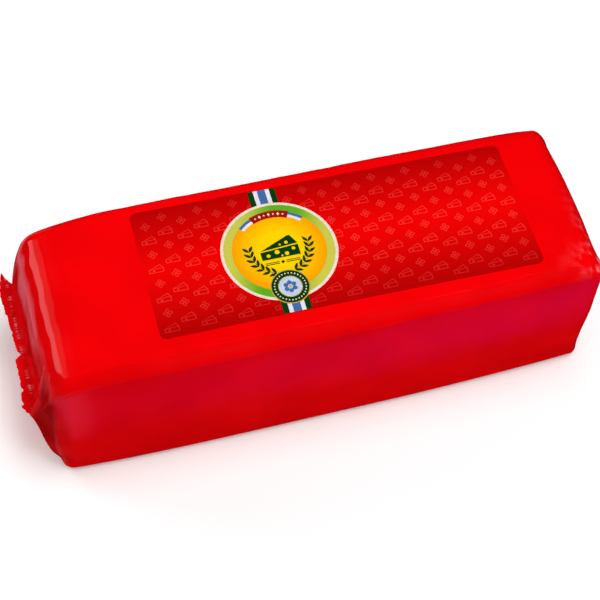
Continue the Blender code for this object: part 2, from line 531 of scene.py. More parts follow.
def rightEndRelief(p, normals):
    # soft tucks of the film, from each corner to a short seam in the middle, with painted shade beside
    # each tuck: the red darkened in the hollow
    r = filmRelief
    x, y, z = p.T
    end = ease((x - 146) / 5)
    relief, shadeAndDoubledFilm = np.zeros(len(p)), np.zeros(len(p))
    for side in (-1, 1):
        for level in (-1, 1):
            fold = lineDistance(p, (150, 46 * side, 42 * level), (155, 20 * side, 2 * level))
            beside = lineDistance(p, (150, 49 * side, 30 * level), (155, 26 * side, 0))
            relief += r["endFoldMm"] * (bump(fold, 0, 2.4) - 0.5 * bump(beside, 0, 5))
            # painted shade: the red darkened in the hollow beside each tuck
            shadeAndDoubledFilm += 0.8 * bump(beside, 0, 6)
    seam = bump(z, 0, 1.5) * ease((34 - np.abs(y)) / 6)
    gathers = 0.16 * np.sin(y * 1.15 + 1.4 * np.sin(y / 6)) * np.exp(-np.abs(z) / 10)
    relief += 0.7 * seam + gathers * ease((38 - np.abs(y)) / 10)
    relief *= end
    upright = (2 * normals[:, 0] * normals[:, 1]) ** 2 * (x > 0)  # 1 on the block's upright edges
    relief += (r["squareMm"] - r["lowCornerMm"] * bump(z, -20, 18) * (y < 0)) * upright
    relief -= 0.7 * ease((x - 30) / 90) * ease((-22 - z) / 18) * ease((-46 - y) / 4)
    shoulder = bump(x, 152, 8) * bump(z, 37, 9)
    relief += shoulder * (r["shoulderMm"] * bump(y, -43, 10) + 0.5 * bump(y, 12, 22))
    longEdge = (2 * normals[:, 1] * normals[:, 2]) ** 2 * (z > 0)  # 1 on the top's long edges
    relief += r["backEdgeMm"] * longEdge * (y > 0) * ease((-10 - x) / 60) * ease((x + 132) / 30)
    relief -= r["frontEdgeMm"] * longEdge * (y < 0) * ease((146 - np.abs(x)) / 14)
    relief -= 0.8 * longEdge * (y > 0) * bump(x, -130, 13)
    return relief, 0.45 * seam * end, shadeAndDoubledFilm * end


def undersideRelief(p, normals):
    # the film's lengthwise overlap, a flat welded strip along the underside
    r = filmRelief
    x, y, z = p.T
    edge = ease((y + 8 + 0.5 * np.sin(x / 21)) / 0.9)
    fall = ease((r["seamWidthMm"] - y) / 14)
    under = ease((-z - 44) / 2.5)
    strip = edge * fall * under
    return r["seamMm"] * strip, 0.35 * bump(y, -7.6, 0.8) * under, 0.6 * strip


def labelCalm(p):
    # 0 on the label's ground, where the film lies flat, to 1 away from it
    turn = math.radians(labelSize["turnDegrees"])
    x = p[:, 0] - labelSize["middle"][0] / mm
    y = p[:, 1] - labelSize["middle"][1] / mm
    along = np.abs(math.cos(turn) * x + math.sin(turn) * y) - labelSize["lengthMm"] / 2
    across = np.abs(-math.sin(turn) * x + math.cos(turn) * y) - labelSize["widthMm"] / 2
    beyond = np.maximum(along, across)
    return np.where(p[:, 2] > 40, ease(beyond / 6), 1.0)


def makeLoafFilm():
    r = filmRelief
    cuts = loafShape["meshRows"] - 1
    shape = bmesh.new()
    bmesh.ops.create_cube(shape, size=2)
    bmesh.ops.subdivide_edges(shape, edges=shape.edges[:], cuts=cuts, use_grid_fill=True)
    mesh = fillMesh(shape, bpy.data.meshes.new("loaf_film"))
    count = len(mesh.vertices)
    cube, normals = np.empty(count * 3), np.empty(count * 3)
    mesh.vertices.foreach_get("co", cube)
    points = shapeLoaf(cube.reshape(-1, 3))
    mesh.vertices.foreach_set("co", points.ravel())
    mesh.update()
    mesh.vertex_normals.foreach_get("vector", normals)
    normals = normals.reshape(-1, 3)
    p = points / mm
    relief = r["broadMm"] * softNoise(p, r["broadSizeMm"], 3)
    relief += r["smallMm"] * softNoise(p, r["smallSizeMm"], 7)
    relief *= ease((p[:, 2] + 45) / 12)
    stress, shadeAndDoubledFilm = np.zeros(count), np.zeros(count)
    for part in (leftEndRelief, cornerMarks, rightEndRelief, undersideRelief):
        height, whitening, doubling = part(p, normals)
        relief += height
        stress += whitening
        shadeAndDoubledFilm += doubling
    relief *= labelCalm(p)
    points += normals * (relief * mm)[:, None] + blockPlace
    points[:, 2] = np.maximum(points[:, 2], loafLow.z)
    mesh.vertices.foreach_set("co", points.ravel())
    keepValues(mesh, "stress", stress)
    # how far the red is darkened, for doubled film and as painted shade
    keepValues(mesh, "shadeAndDoubledFilm", shadeAndDoubledFilm)
    mesh.update()
    return link(mesh, "loaf_film")


loafFilm = makeLoafFilm()
finishPiece(loafFilm, [filmRed], "wrapped_loaf", 60)
print("stage: loaf film,", len(loafFilm.data.polygons), "faces")


# The torn heat seal that stands out along the pillow's ridge

finShape = {
    "edge": (
        (-0.0365, 0.0030), (-0.0320, 0.0074), (-0.0245, 0.0054), (-0.0150, 0.0043),
        (-0.0005, 0.0045), (0.0013, 0.0024), (0.0145, 0.0033), (0.0255, 0.0038),
        (0.0270, 0.0042), (0.0410, 0.0042), (0.0480, 0.0034), (0.0540, 0.0014),
    ),
    "root": 0.0060,
    "thickness": 0.00045,
    "wave": 0.0006,
    "waveLength": 0.024,
    "flutter": 0.00022,
    "earStart": 0.0430,
    "earWidth": 0.0006,
    "earLift": 0.0016,
    "crimp": 0.00010,
    "crimpGap": 0.0011,
    "ragged": 0.00022,
    "fringe": 0.00035,
    "earReach": 0.0008,
    "leastReach": 0.0006,
    "tears": 9,
    "tearDepth": 0.0013,
    "rows": 330,
    "columns": 12,
}


def slabFaces(rows, columns, start, closed=False):
    # faces of a closed plate between a lower and an upper grid of points
    faces = []
    layer = rows * columns
    span = columns if closed else columns - 1

    def at(level, row, column):
        return start + level * layer + row * columns + column % columns

    def wall(first, second):
        faces.append([at(0, *first), at(0, *second), at(1, *second), at(1, *first)])

    for row in range(rows - 1):
        for column in range(span):
            ring = ((row, column), (row, column + 1), (row + 1, column + 1), (row + 1, column))
            faces.append([at(1, *corner) for corner in ring])
            faces.append([at(0, *corner) for corner in reversed(ring)])
    for row in (0, rows - 1):
        for column in range(span):
            wall((row, column), (row, column + 1))
    if not closed:
        for column in (0, columns - 1):
            for row in range(rows - 1):
                wall((row, column), (row + 1, column))
    return faces


def makeFin():
    s = finShape
    draw = random.Random(11)
    edgePlaces, edgeReach = zip(*s["edge"])
    places = np.linspace(edgePlaces[0], edgePlaces[-1], s["rows"])
    line = np.stack([places / mm, places * 0, places * 0], axis=1)
    ear = clip((places - s["earStart"]) / (edgePlaces[-1] - s["earStart"]))
    torn = s["ragged"] * (0.6 * softNoise(line, 3.1, 2) + 0.4 * softNoise(line, 1.3, 4)) - s["fringe"]
    for tear in range(s["tears"]):
        middle = draw.uniform(places[0], s["earStart"])
        width = draw.uniform(0.0004, 0.0011)
        side = np.where(places > middle, 0.35, 1.6)  # steep on one side, slanted on the other
        torn += s["tearDepth"] * draw.uniform(0.3, 1) * bump((places - middle) * side, 0, width)
    ridge = -half[0] - loafShape["pillowReach"]
    reach = np.interp(places, edgePlaces, edgeReach) + s["earReach"] * ease((places - 0.030) / 0.010)
    outer = ridge - np.maximum(reach - torn * (1 - ear), s["leastReach"])
    inner = (ridge + s["root"]) * (1 - ear) + (outer + s["earWidth"]) * ear
    share = np.linspace(0, 1, s["columns"])[None, :] ** 0.8
    free = 1 - share
    x = outer[:, None] + (inner - outer)[:, None] * share
    y = np.repeat(places[:, None], s["columns"], axis=1)
    wave = s["wave"] * np.sin(2 * math.pi * y / s["waveLength"])
    flutter = s["flutter"] * np.sin(2 * math.pi * y / 0.0083 + 2.2 * np.sin(y / 0.0052))
    crimp = s["crimp"] * np.sin(2 * math.pi * (x - ridge) / s["crimpGap"]) * clip((ridge - x) / 0.003)
    lift = s["earLift"] * (ear ** 1.5)[:, None] * (0.4 + 0.6 * free)
    middleSheet = np.stack([x, y, (wave + flutter) * free + crimp + lift], axis=2) + blockPlace
    thin = s["thickness"] * (0.55 + 0.45 * share)[:, :, None] * np.array([0, 0, 0.5])
    points = np.concatenate([(middleSheet + way * thin).reshape(-1, 3) for way in (-1, 1)])
    mesh = meshFromPoints("seal_fin", points, slabFaces(s["rows"], s["columns"], 0))
    broken = clip(0.9 * softNoise(line, 1.5, 9)) * clip(0.4 + 0.8 * softNoise(line, 11, 12))
    specks = 1.5 * bump(x, ridge - 0.0003, 0.0008) * broken[:, None]
    keepValues(mesh, "stress", np.concatenate([specks.ravel(), specks.ravel()]))
    return link(mesh, "seal_fin")


finFinish = dict(filmFinish)
finFinish.update({
    "deepRed": (0.640, 0.001, 0.003, 1),
    "brightRed": (0.880, 0.002, 0.005, 1),
    "smooth": 0.10,
    "dull": 0.18,
    "speckSize": 0.0007,
    "cut": 0.42,
})
finishPiece(makeFin(), [makeFilmMaterial("fin red", finFinish)], "wrapped_loaf", 50)
print("stage: fin")


# The label. All of its print is laid in thin layers on the label's ground; the places of the print
# are in millimetres from the label's middle, and the heights in millimetres above the film.

labelLayers = {
    "ground": (-0.06, 0.14),
    "ribbon": (0.10, 0.20),
    "rim": (0.10, 0.23),
    "ring": (0.19, 0.26),
    "disc": (0.22, 0.29),
    "badge": (0.25, 0.33),
    "onBadge": (0.30, 0.36),
    "medallion": (0.25, 0.35),
    "onMedallion": (0.32, 0.38),
    "flower": (0.35, 0.41),
}

labelTurn = math.radians(labelSize["turnDegrees"])
labelMiddle = blockPlace[:2] + np.array(labelSize["middle"])


def onLabel(places):
    # label millimetres to the row frame, at the film's top face
    x, y = places[..., 0] * mm, places[..., 1] * mm
    rowX = labelMiddle[0] + math.cos(labelTurn) * x - math.sin(labelTurn) * y
    rowY = labelMiddle[1] + math.sin(labelTurn) * x + math.cos(labelTurn) * y
    return np.stack([rowX, rowY, filmTop(rowX, rowY)], axis=-1)


# Grids of places for flat plates, each with whether its columns close in a ring

def rectanglePlaces(low, high, rows=2, columns=5):
    x, y = np.meshgrid(np.linspace(low[0], high[0], columns), np.linspace(low[1], high[1], rows))
    return np.stack([x, y], axis=2), False


def ringPlaces(middle, inner, outer, start=0, end=360, rows=3, columns=120):
    full = abs(end - start) >= 360
    angles = np.radians(np.linspace(start, end, columns, endpoint=not full))[None, :]
    radii = np.linspace(inner, outer, rows)[:, None]
    x, y = middle[0] + radii * np.cos(angles), middle[1] + radii * np.sin(angles)
    return np.stack([x, y], axis=2), full


def discPlaces(middle, radius, cells):
    # a square grid drawn out to a disc, so that it has no pole
    u, v = np.meshgrid(np.linspace(-1, 1, cells + 1), np.linspace(-1, 1, cells + 1))
    x = middle[0] + radius * u * np.sqrt(1 - v ** 2 / 2)
    y = middle[1] + radius * v * np.sqrt(1 - u ** 2 / 2)
    return np.stack([x, y], axis=2), False


def quadPlaces(corners, rows=5, columns=13):
    # a four-cornered patch, corners in order round it
    a, b, c, d = (np.array(corner, float) for corner in corners)
    u, v = np.meshgrid(np.linspace(0, 1, columns), np.linspace(0, 1, rows))
    u, v = u[..., None], v[..., None]
    return (1 - v) * ((1 - u) * a + u * b) + v * ((1 - u) * d + u * c), False


def lozengePlaces(middle, out, aside):
    # four corners, at the ends of two arms and of their opposites
    middle = np.array(middle)
    return quadPlaces([middle + out, middle + aside, middle - out, middle - aside], 2, 2)


def labelPlace(tree, middle=(0, 0)):
    # the piece's own place on the label, in millimetres from a given point of it
    away = vectorNode(tree, "SUBTRACT", ownPlace(tree), (labelMiddle[0], labelMiddle[1], 0))
    turned = addNode(tree, "ShaderNodeMapping", {
        "Vector": away, "Rotation": (0, 0, -labelTurn), "Scale": (1 / mm, 1 / mm, 0),
    }, vector_type="POINT")
    return vectorNode(tree, "SUBTRACT", turned.outputs[0], (middle[0], middle[1], 0))


printFinish = {
    "smooth": 0.08,
    "dull": 0.15,
    "broad": (0.030, 0.00003),  # size of the blotches, height of the ripple
    "fine": (0.012, 0.00002),
}


def makePrint(name, surface, inkFor):
    # the ink under the film: a little uneven, with the film's gloss over it
    material, tree, shader, film = startMaterial(name, printFinish[surface])
    shade = mapRange(tree, film["Blotch"], 0.0, 1.0, 0.94, 1.0)
    grain = mapRange(tree, film["Grain"], 0.3, 0.7, 0.97, 1.0)
    ink = addNode(tree, "ShaderNodeVectorMath", {
        0: inkFor(tree, film), "Scale": mathNode(tree, "MULTIPLY", shade, grain),
    }, operation="SCALE")
    plug(tree, shader["Base Color"], ink.outputs[0])
    rough = mapRange(tree, film["Blotch"], 0.0, 1.0, printFinish["smooth"], printFinish["dull"])
    plug(tree, shader["Roughness"], rough)
    return material


def plainInk(value):
    # one colour, darker in its uneven patches
    def inkFor(tree, film):
        darker = tuple(part * 0.86 for part in value[:3]) + (1,)
        return mixColour(tree, mapRange(tree, film["Grain"], 0.35, 0.65), darker, value)
    return inkFor


def shadedInk(centre, quarter, edge):
    # red, brightest along the label's middle line and darkest at its long edges
    def inkFor(tree, film):
        across = splitNode(tree, labelPlace(tree, (0, 1.0)))["Y"]
        share = mathNode(tree, "DIVIDE", mathNode(tree, "ABSOLUTE", across), labelSize["widthMm"] / 2)
        return colourStops(tree, share, [(0.0, centre), (0.08, centre), (0.42, quarter), (1.0, edge)])
    return inkFor


groundTones = {
    "centre": (0.900, 0.0008, 0.0008, 1),
    "quarter": (0.740, 0.0008, 0.0008, 1),
    "edge": (0.460, 0.0006, 0.0008, 1),
}

motifTones = {
    "centre": (0.980, 0.0340, 0.0280, 1),
    "quarter": (0.900, 0.0300, 0.0260, 1),
    "edge": (0.590, 0.0130, 0.0125, 1),
}


def crowdedSteps(halfLength, edge, count):
    # even steps from end to end, with one narrow step at each end
    inside = np.linspace(edge - halfLength, halfLength - edge, count)
    return np.concatenate([[-halfLength], inside, [halfLength]])


def roundCorners(gridX, gridY, halfX, halfY, radius):
    # draws the corners of a rectangular grid in to quarter circles
    u = clip((np.abs(gridX) - halfX + radius) / radius)
    v = clip((np.abs(gridY) - halfY + radius) / radius)
    x = np.abs(gridX) - radius * u * (1 - np.sqrt(1 - v ** 2 / 2))
    y = np.abs(gridY) - radius * v * (1 - np.sqrt(1 - u ** 2 / 2))
    return np.copysign(x, gridX), np.copysign(y, gridY)


def makeLabelGround():
    s = labelSize
    halfX, halfY = s["lengthMm"] / 2, s["widthMm"] / 2
    x = crowdedSteps(halfX, s["edgeMm"], 85)
    y = crowdedSteps(halfY, s["edgeMm"], 35)
    gridX, gridY = roundCorners(*np.meshgrid(x, y), halfX, halfY, s["cornerMm"])
    ground = onLabel(np.stack([gridX, gridY], axis=2))
    low, high = labelLayers["ground"]
    rim = np.ones(gridX.shape, bool)
    rim[1:-1, 1:-1] = False
    lower, upper = ground.copy(), ground.copy()
    lower[..., 2] += low * mm
    upper[..., 2] += np.where(rim, 0.01, high) * mm  # the edge lies down on the film
    points = np.concatenate([lower.reshape(-1, 3), upper.reshape(-1, 3)])
    mesh = meshFromPoints("label_ground", points, slabFaces(len(y), len(x), 0))
    return link(mesh, "label_ground")


labelGround = makeLabelGround()
groundPrint = makePrint("label ground", "broad", shadedInk(**groundTones))
finishPiece(labelGround, [groundPrint], "label", 70)
print("stage: label ground")


# The seal: a cream rim, a green ring and a golden disc on a striped ribbon

seal = {
    "middle": (-31.9, -1.1),
    "radius": 31.5,
    "ringOuter": 29.9,
    "discOuter": 25.4,
    "medallionMiddle": (-32.1, -24.6),
    "medallionRadius": 10.5,
    "medallionCentre": 6.2,
    "ribbonWidths": (3.1, 2.3, 4.4, 2.3, 3.1),
    "ribbonInset": 0.9,
    "bandMiddle": 23.9,
    "bandWidth": 4.6,
    "bandSweep": 88,
    "bandRedSweep": 50,
    "bandMarkGap": 6.2,
    "wedgeLift": 1.2,
    "wedgeHoles": (
        (-6.6, -3.7, 1.05), (-1.6, -2.2, 1.35), (3.4, -4.1, 1.2), (7.6, -1.6, 1.0),
        (0.6, -5.0, 0.6), (4.6, 2.9, 1.0), (1.0, 2.2, 0.6),
    ),
    "ruleLength": 7.5,
    "ruleHalf": 0.24,
}

sealTones = {
    "ringLight": colour(204, 204, 80),
    "ringGreen": colour(98, 176, 32),
    "discLight": colour(255, 214, 4),
    "discEdge": colour(255, 160, 0),
}


def ringInk(tree, film):
    # green, yellower at the ring's left and right
    place = splitNode(tree, labelPlace(tree, seal["middle"]))
    lean = mathNode(tree, "MULTIPLY_ADD", place["Y"], -0.36, place["X"])
    share = mapRange(tree, mathNode(tree, "ABSOLUTE", lean), 6.0, 27.0)
    return colourStops(tree, share, [(0.0, sealTones["ringGreen"]), (1.0, sealTones["ringLight"])])


def discInk(tree, film):
    # golden, orange towards the disc's edge
    place = labelPlace(tree, seal["middle"])
    away = addNode(tree, "ShaderNodeVectorMath", {0: place}, operation="LENGTH").outputs["Value"]
    share = mathNode(tree, "DIVIDE", away, seal["discOuter"])
    light, edge = sealTones["discLight"], sealTones["discEdge"]
    return colourStops(tree, share, [(0.0, light), (0.45, light), (1.0, edge)])


plainInks = {
    "cream": colour(255, 232, 214),
    "white": colour(240, 236, 246),
    "dark green": colour(12, 62, 18),
    "blue": colour(72, 112, 172),
    "pale blue": colour(205, 218, 240),
    "dark red": colour(168, 18, 10),
    "gold": colour(214, 176, 70),
}

inks = {name: makePrint(name + " ink", "fine", plainInk(value)) for name, value in plainInks.items()}
inks["motif"] = makePrint("motif ink", "broad", shadedInk(**motifTones))
inks["ring"] = makePrint("seal ring", "fine", ringInk)
inks["disc"] = makePrint("seal disc", "fine", discInk)


def makePlates(name, plates):
    # one piece of closed thin plates, each with its layer, its ink and its grid of places
    points, faces, ids = [], [], []
    used = list(dict.fromkeys(ink for layer, ink, grid in plates))
    start = 0
    for layer, ink, (places, closed) in plates:
        ground = onLabel(places)
        for level in labelLayers[layer]:
            points.append((ground + np.array([0, 0, level * mm])).reshape(-1, 3))
        rows, columns = places.shape[:2]
        made = slabFaces(rows, columns, start, closed)
        faces += made
        ids += [used.index(ink)] * len(made)
        start += 2 * rows * columns
    mesh = meshFromPoints(name, np.concatenate(points), faces, ids)
    return finishPiece(link(mesh, name), [inks[ink] for ink in used], "label")


def makeRibbon():
    edgeY = labelSize["widthMm"] / 2 - seal["ribbonInset"]
    x = seal["middle"][0] - sum(seal["ribbonWidths"]) / 2
    plates = []
    for width, ink in zip(seal["ribbonWidths"], ("dark green", "white", "blue", "white", "dark green")):
        plates.append(("ribbon", ink, rectanglePlaces((x, -edgeY), (x + width, edgeY), 33, 3)))
        x += width
    makePlates("seal_ribbon", plates)


def makeRounds():
    middle, outer = seal["middle"], seal["discOuter"]
    makePlates("seal_rim", [("rim", "cream", discPlaces(middle, seal["radius"], 30))])
    makePlates("seal_ring", [("ring", "ring", ringPlaces(middle, outer - 1, seal["ringOuter"], rows=4))])
    makePlates("seal_disc", [("disc", "disc", discPlaces(middle, outer, 26))])


def makeBand():
    # a curved band at the top of the disc, its ends in white and blue
    s = seal
    middle, width = s["middle"], s["bandWidth"]
    inner, outer = s["bandMiddle"] - width / 2, s["bandMiddle"] + width / 2
    redHalf, wholeHalf = s["bandRedSweep"] / 2, s["bandSweep"] / 2
    red = ringPlaces(middle, inner, outer, 90 - redHalf, 90 + redHalf, columns=33)
    plates = [("badge", "dark red", red)]
    for side in (-1, 1):
        start, end = 90 + side * redHalf, 90 + side * wholeHalf
        for share, ink in ((0.15, "white"), (0.50, "blue")):
            low = inner + width * share
            stripe = ringPlaces(middle, low, low + width * 0.36, start, end, columns=17)
            plates.append(("badge", ink, stripe))
    for place in range(-3, 4):
        angle = math.radians(90 + place * s["bandMarkGap"])
        out = np.array([math.cos(angle), math.sin(angle)])
        aside = np.array([-out[1], out[0]])
        long, wide = (1.15, 0.75) if place % 2 == 0 else (0.6, 0.6)
        lozenge = lozengePlaces(middle + out * s["bandMiddle"], out * long, aside * wide)
        plates.append(("onBadge", "cream", lozenge))
    makePlates("seal_band", plates)


def makeWedge():
    # the emblem: a wedge of cheese with round holes, above a short double rule with a lozenge
    half, length = seal["ruleHalf"], seal["ruleLength"]
    x, y = seal["middle"][0], seal["middle"][1] + seal["wedgeLift"]
    front = [(x - 10.5, y - 6), (x + 10.5, y - 6), (x + 10.5, y + 0.6), (x - 10.5, y - 0.9)]
    top = [(x - 10.2, y - 0.1), (x + 10.5, y + 1.4), (x + 7.4, y + 7.2), (x + 6.2, y + 7.2)]
    plates = [("badge", "dark green", quadPlaces(corners)) for corners in (front, top)]
    for holeX, holeY, radius in seal["wedgeHoles"]:
        plates.append(("onBadge", "disc", discPlaces((x + holeX, y + holeY), radius, 5)))
    for level in (y - 8.3, y - 9.3):
        for start in (x - 1.9 - length, x + 1.9):
            rule = rectanglePlaces((start, level - half), (start + length, level + half))
            plates.append(("badge", "dark green", rule))
    lozenge = lozengePlaces((x, y - 8.8), np.array([1.15, 0]), np.array([0, 1.15]))
    plates.append(("badge", "dark green", lozenge))
    makePlates("seal_wedge", plates)


def makeMedallion():
    # a dark green medallion at the foot of the seal, with a pale blue middle and a flower
    place, radius, centre = seal["medallionMiddle"], seal["medallionRadius"], seal["medallionCentre"]
    goldEdge = ringPlaces(place, radius - 0.5, radius + 0.05, rows=2, columns=72)
    goldLine = ringPlaces(place, centre - 0.1, centre + 0.3, rows=2, columns=60)
    plates = [
        ("medallion", "dark green", discPlaces(place, radius, 20)),
        ("onMedallion", "gold", goldEdge),
        ("onMedallion", "pale blue", discPlaces(place, centre, 14)),
        ("flower", "gold", goldLine),
    ]
    for petal in range(6):
        angle = math.radians(petal * 60 + 30)
        petalPlace = (place[0] + 2.5 * math.cos(angle), place[1] + 2.5 * math.sin(angle))
        plates.append(("flower", "blue", discPlaces(petalPlace, 1.3, 5)))
    plates.append(("flower", "gold", discPlaces(place, 0.85, 4)))
    makePlates("seal_medallion", plates)


makeRibbon()
makeRounds()
makeBand()
makeWedge()
makeMedallion()
print("stage: seal")


# Geometry Nodes: what repeats on the label is laid on its surface by one shared group

def makeTree(name, values):
    # a tree with one named input for each value, of the kind that the value has
    kinds = ((bpy.types.Object, "Object"), (int, "Int"), (float, "Float"), (tuple, "Vector"))
    inputs = [("Geometry", "Geometry")]
    for label, value in values.items():
        inputs.append((label, next(kind for family, kind in kinds if isinstance(value, family))))
    return makeGroup("Geometry", name, inputs, [("Geometry", "Geometry")])


def objectShape(tree, source):
    inputs = {"Object": source}
    return addNode(tree, "GeometryNodeObjectInfo", inputs, transform_space="ORIGINAL").outputs["Geometry"]


def makeLayingGroup():
    # turns flat print to the label's place, then lets each point down on the label's ground
    tree, given, result = makeTree("layOnLabel", {"Ground": labelGround, "Height": 0.0})
    real = addNode(tree, "GeometryNodeRealizeInstances", {"Geometry": given["Geometry"]})
    turned = addNode(tree, "GeometryNodeTransform", {
        "Geometry": real.outputs[0],
        "Translation": (labelMiddle[0], labelMiddle[1], 0),
        "Rotation": (0, 0, labelTurn),
    })
    place = addNode(tree, "GeometryNodeInputPosition").outputs[0]
    ray = addNode(tree, "GeometryNodeRaycast", {
        "Target Geometry": objectShape(tree, given["Ground"]),
        "Source Position": vectorNode(tree, "ADD", place, (0, 0, 1)),
        "Ray Direction": (0, 0, -1),
        "Ray Length": 3.0,
    })
    hit = splitNode(tree, ray.outputs["Hit Position"])["Z"]
    rise = mathNode(tree, "ADD", hit, given["Height"])
    offset = addNode(tree, "ShaderNodeCombineXYZ", {"Z": rise})
    laid = addNode(tree, "GeometryNodeSetPosition", {
        "Geometry": turned.outputs[0], "Offset": offset.outputs[0],
    })
    plug(tree, result["Geometry"], laid.outputs[0])
    return tree


layingGroup = makeLayingGroup()


def endTree(tree, given, result, geometry, material):
    laid = addNode(tree, "GeometryNodeGroup", {
        "Geometry": geometry, "Ground": given["Ground"], "Height": given["Height"],
    }, node_tree=layingGroup)
    real = addNode(tree, "GeometryNodeRealizeInstances", {"Geometry": laid.outputs[0]})
    dyed = addNode(tree, "GeometryNodeSetMaterial", {"Geometry": real.outputs[0], "Material": material})
    plug(tree, result["Geometry"], dyed.outputs[0])
    return tree


def runTree(tree, name, values, material):
    # evaluates a tree once and keeps its result as a plain mesh piece
    carrier = link(bpy.data.meshes.new(name + "_carrier"), name + "_carrier")
    modifier = carrier.modifiers.new("make", "NODES")
    modifier.node_group = tree
    for item in tree.interface.items_tree:
        if item.in_out == "INPUT" and item.name in values:
            modifier[item.identifier] = values[item.name]
    carrier.update_tag()
    graph = bpy.context.evaluated_depsgraph_get()
    mesh = bpy.data.meshes.new_from_object(carrier.evaluated_get(graph))
    carrier.modifiers.remove(modifier)
    bpy.data.objects.remove(carrier)
    mesh.name = name
    return finishPiece(link(mesh, name), [material], "label")


def strokeRing(shape, places, width, height):
    # a closed line of print: a low ridge of three faces along a ring of places
    count = len(places)
    rows = []
    for index in range(count):
        before, here, after = (Vector(places[(index + step) % count]) for step in (-1, 0, 1))
        first, second = (here - before).normalized(), (after - here).normalized()
        aside = Vector((first.y + second.y, -first.x - second.x)).normalized()
        reach = width / 2 / max(0.5, abs(aside.dot(Vector((first.y, -first.x)))))
        rows.append([
            shape.verts.new((*(here + aside * reach), 0)),
            shape.verts.new((*here, height)),
            shape.verts.new((*(here - aside * reach), 0)),
        ])
    for row, following in zip(rows, rows[1:] + rows[:1]):
        for side in range(3):
            other = (side + 1) % 3
            shape.faces.new((row[side], row[other], following[other], following[side]))


def roundPlaces(middle, radii, count, start=0.0):
    # places round a middle; the radii take turns
    places = []
    for step in range(count):
        angle = start + 2 * math.pi * step / count
        radius = radii[step % len(radii)]
        places.append((middle[0] + radius * math.cos(angle), middle[1] + radius * math.sin(angle)))
    return places


motif = {
    "columns": 21,
    "rows": 8,
    "columnGap": 9.8 * mm,
    "rowGap": 9.3 * mm,
    "line": 0.55 * mm,
    "rise": 0.05 * mm,
    "sink": 0.01 * mm,
    "petalRadii": (1.1, 2.0, 2.45, 2.0),  # the notch, side, tip and side of a petal
}


def makeMotif(name, rings):
    shape = bmesh.new()
    for ring in rings:
        strokeRing(shape, [(x * mm, y * mm) for x, y in ring], motif["line"], motif["rise"])
    return link(fillMesh(shape, bpy.data.meshes.new(name)), name)


def makeMotifTree(values):
    # a staggered lattice: wedges and flowers take turns down each column
    tree, given, result = makeTree("motifLattice", values)

    def product(first, second):
        return mathNode(tree, "MULTIPLY", first, second)

    def less(first, second):
        return mathNode(tree, "SUBTRACT", first, second)

    rowGap = given["Row Gap"]
    grid = addNode(tree, "GeometryNodeMeshGrid", {
        "Size X": product(less(given["Columns"], 1.0), given["Column Gap"]),
        "Size Y": product(less(given["Rows"], 1.0), rowGap),
        "Vertices X": given["Columns"],
        "Vertices Y": given["Rows"],
    })
    index = addNode(tree, "GeometryNodeInputIndex").outputs[0]
    steps = mathNode(tree, "DIVIDE", mathNode(tree, "ADD", index, 0.5), given["Rows"])
    column = mathNode(tree, "FLOOR", steps)
    row = less(index, product(column, given["Rows"]))
    oddColumn, oddRow = (mathNode(tree, "MODULO", value, 2.0) for value in (column, row))
    shift = product(less(oddColumn, 0.5), product(rowGap, 0.5))
    offset = addNode(tree, "ShaderNodeCombineXYZ", {"Y": shift}).outputs[0]
    points = addNode(tree, "GeometryNodeSetPosition", {"Geometry": grid.outputs["Mesh"], "Offset": offset})
    join = addNode(tree, "GeometryNodeJoinGeometry")
    for label, test in (("Wedge", "LESS_THAN"), ("Flower", "GREATER_THAN")):
        shown = addNode(tree, "FunctionNodeCompare", {
            "A": oddRow, "B": 0.5,
        }, data_type="FLOAT", operation=test)
        placed = addNode(tree, "GeometryNodeInstanceOnPoints", {
            "Points": points.outputs[0], "Instance": objectShape(tree, given[label]),
            "Selection": shown.outputs[0],
        })
        plug(tree, join.inputs[0], placed.outputs[0])
    return endTree(tree, given, result, join.outputs[0], inks["motif"])


def makeMotifs():
    wedge = makeMotif("motif_wedge", [
        [(-3.7, -2.1), (3.7, -2.1), (3.7, 0.4), (-3.7, 0.0)],
        [(-3.7, 0.0), (3.7, 0.4), (2.3, 2.5)],
        roundPlaces((-1.4, -1.1), [0.42], 6),
    ])
    flower = makeMotif("motif_flower", [
        roundPlaces((0, 0), motif["petalRadii"], 16, math.radians(45)),
        roundPlaces((0, 0), [0.6], 6),
    ])
    values = {
        "Ground": labelGround, "Height": -motif["sink"], "Wedge": wedge, "Flower": flower,
        "Columns": motif["columns"], "Rows": motif["rows"],
        "Column Gap": motif["columnGap"], "Row Gap": motif["rowGap"],
    }
    made = runTree(makeMotifTree(values), "label_motifs", values, inks["motif"])
    for spare in (wedge, flower):
        bpy.data.objects.remove(spare)
    return made


labelMotifs = makeMotifs()
print("stage: motifs,", len(labelMotifs.data.polygons), "faces")


def heightAboveGround(layer):
    return (labelLayers[layer][1] - labelLayers["ground"][1]) * mm


def inMetres(x, y):
    return (x * mm, y * mm, 0)


beads = {
    "count": 30,
    "radius": 0.42 * mm,
    "ring": 8.35 * mm,
    "rise": 0.05 * mm,
    "sides": 10,
}


